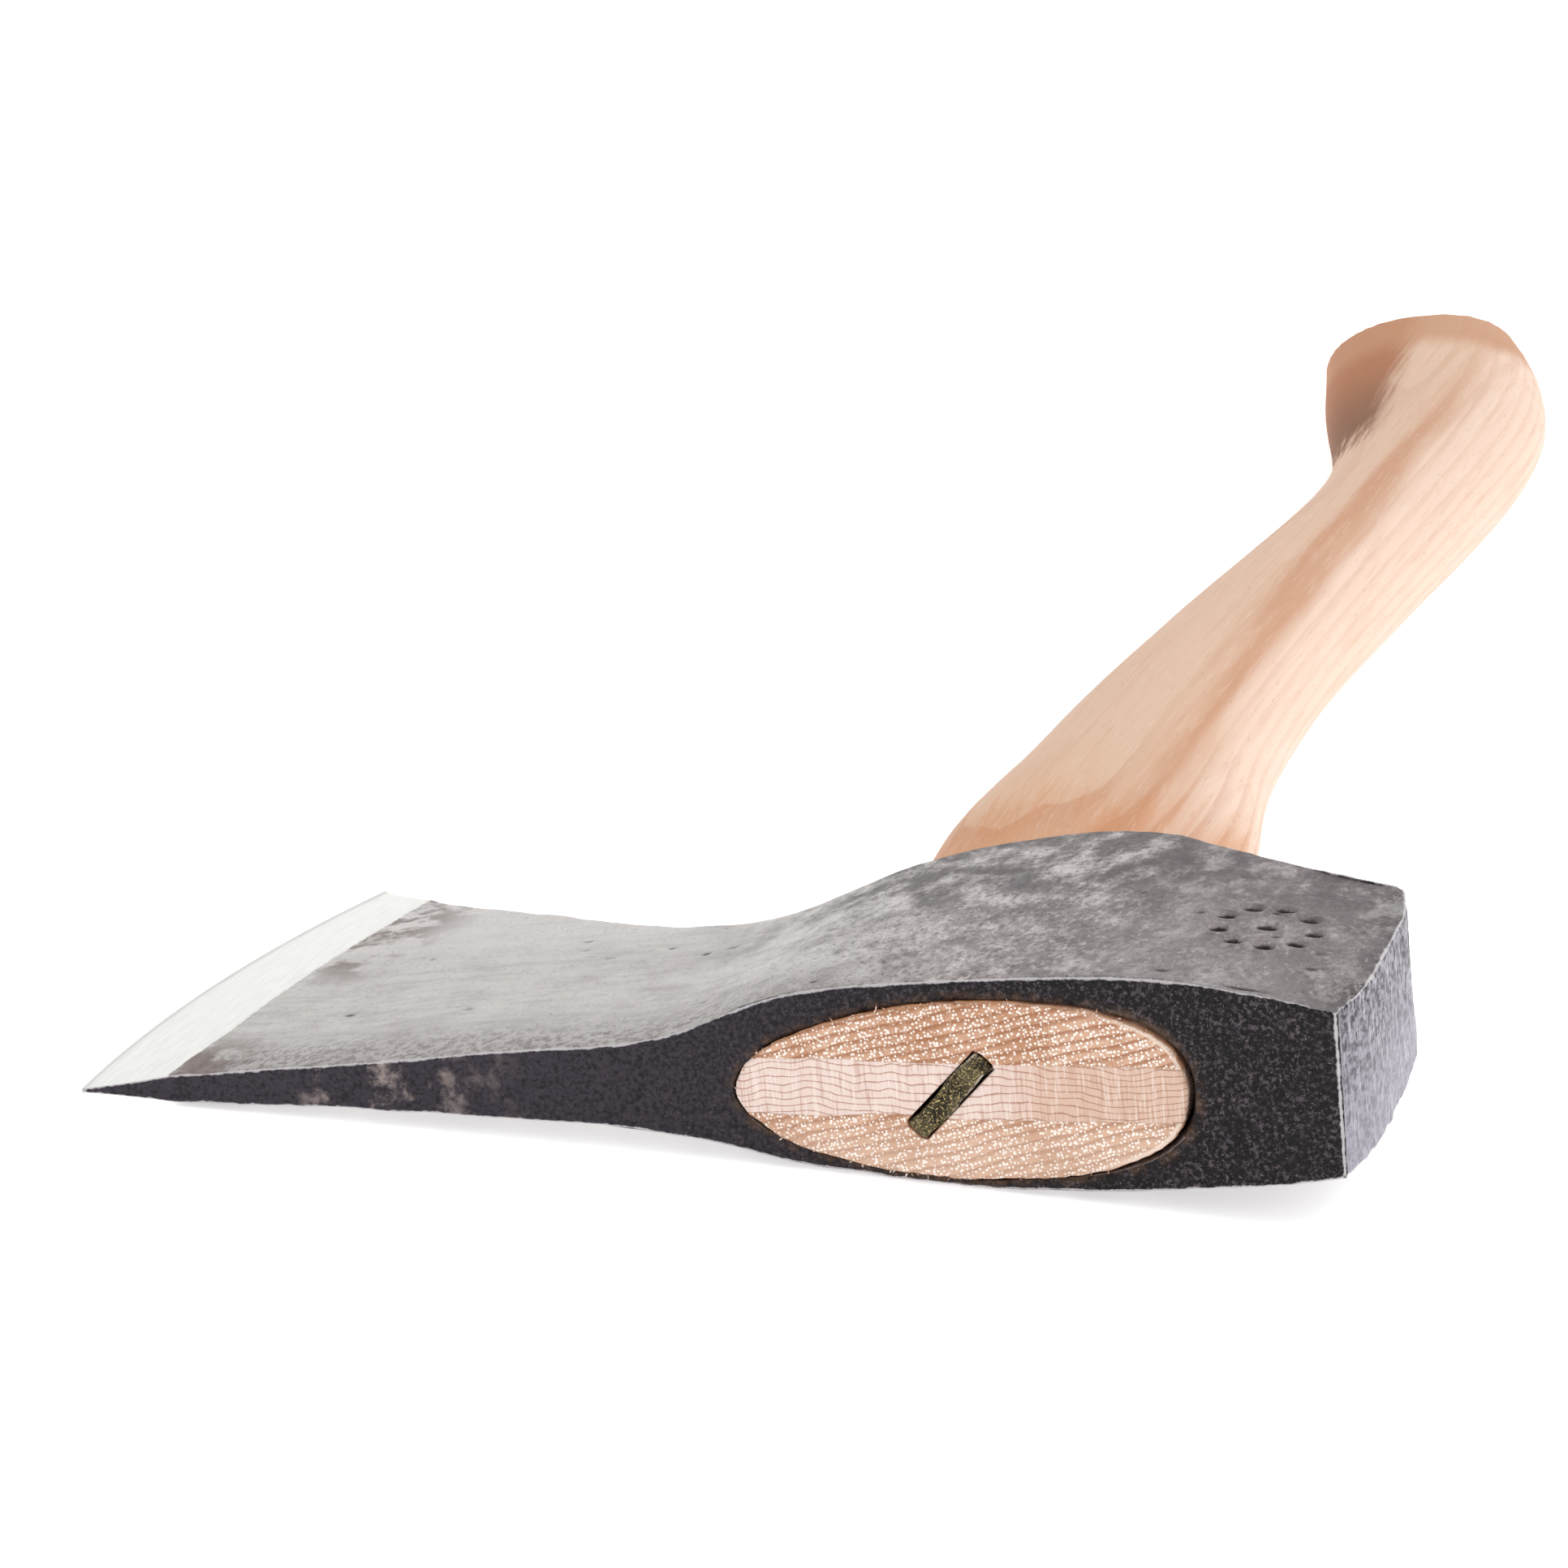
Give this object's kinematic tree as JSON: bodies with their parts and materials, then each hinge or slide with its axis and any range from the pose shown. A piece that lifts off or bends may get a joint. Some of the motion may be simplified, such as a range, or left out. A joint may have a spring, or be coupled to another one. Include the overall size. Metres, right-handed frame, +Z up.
{
  "type": "splitting axe",
  "caption": "Single-bit forged splitting axe lying on its cheek: wedge-bodied head with rounded lugs, curved wooden handle with a knob, wooden and steel eye wedges.",
  "frame": {"origin": "on the surface the axe lies on, at the middle of the area it covers", "axes": "+X from the cutting edge to the poll, +Y from the head to the knob along the handle, +Z up, the axe lying on its cheek"},
  "size_m": [0.1788, 0.5929, 0.0315],
  "materials": {
    "forged_steel": "forged grey steel, dark scale at the top, ground bright at the bevel",
    "hickory": "oiled pale hickory",
    "wedge_wood": "bare sawn end grain",
    "wedge_steel": "dark rolled steel"
  },
  "bodies": {
    "root": {"head": "forged_steel", "handle": "hickory", "wooden_wedge": "wedge_wood", "steel_wedge": "wedge_steel"}
  },
  "joints": []
}
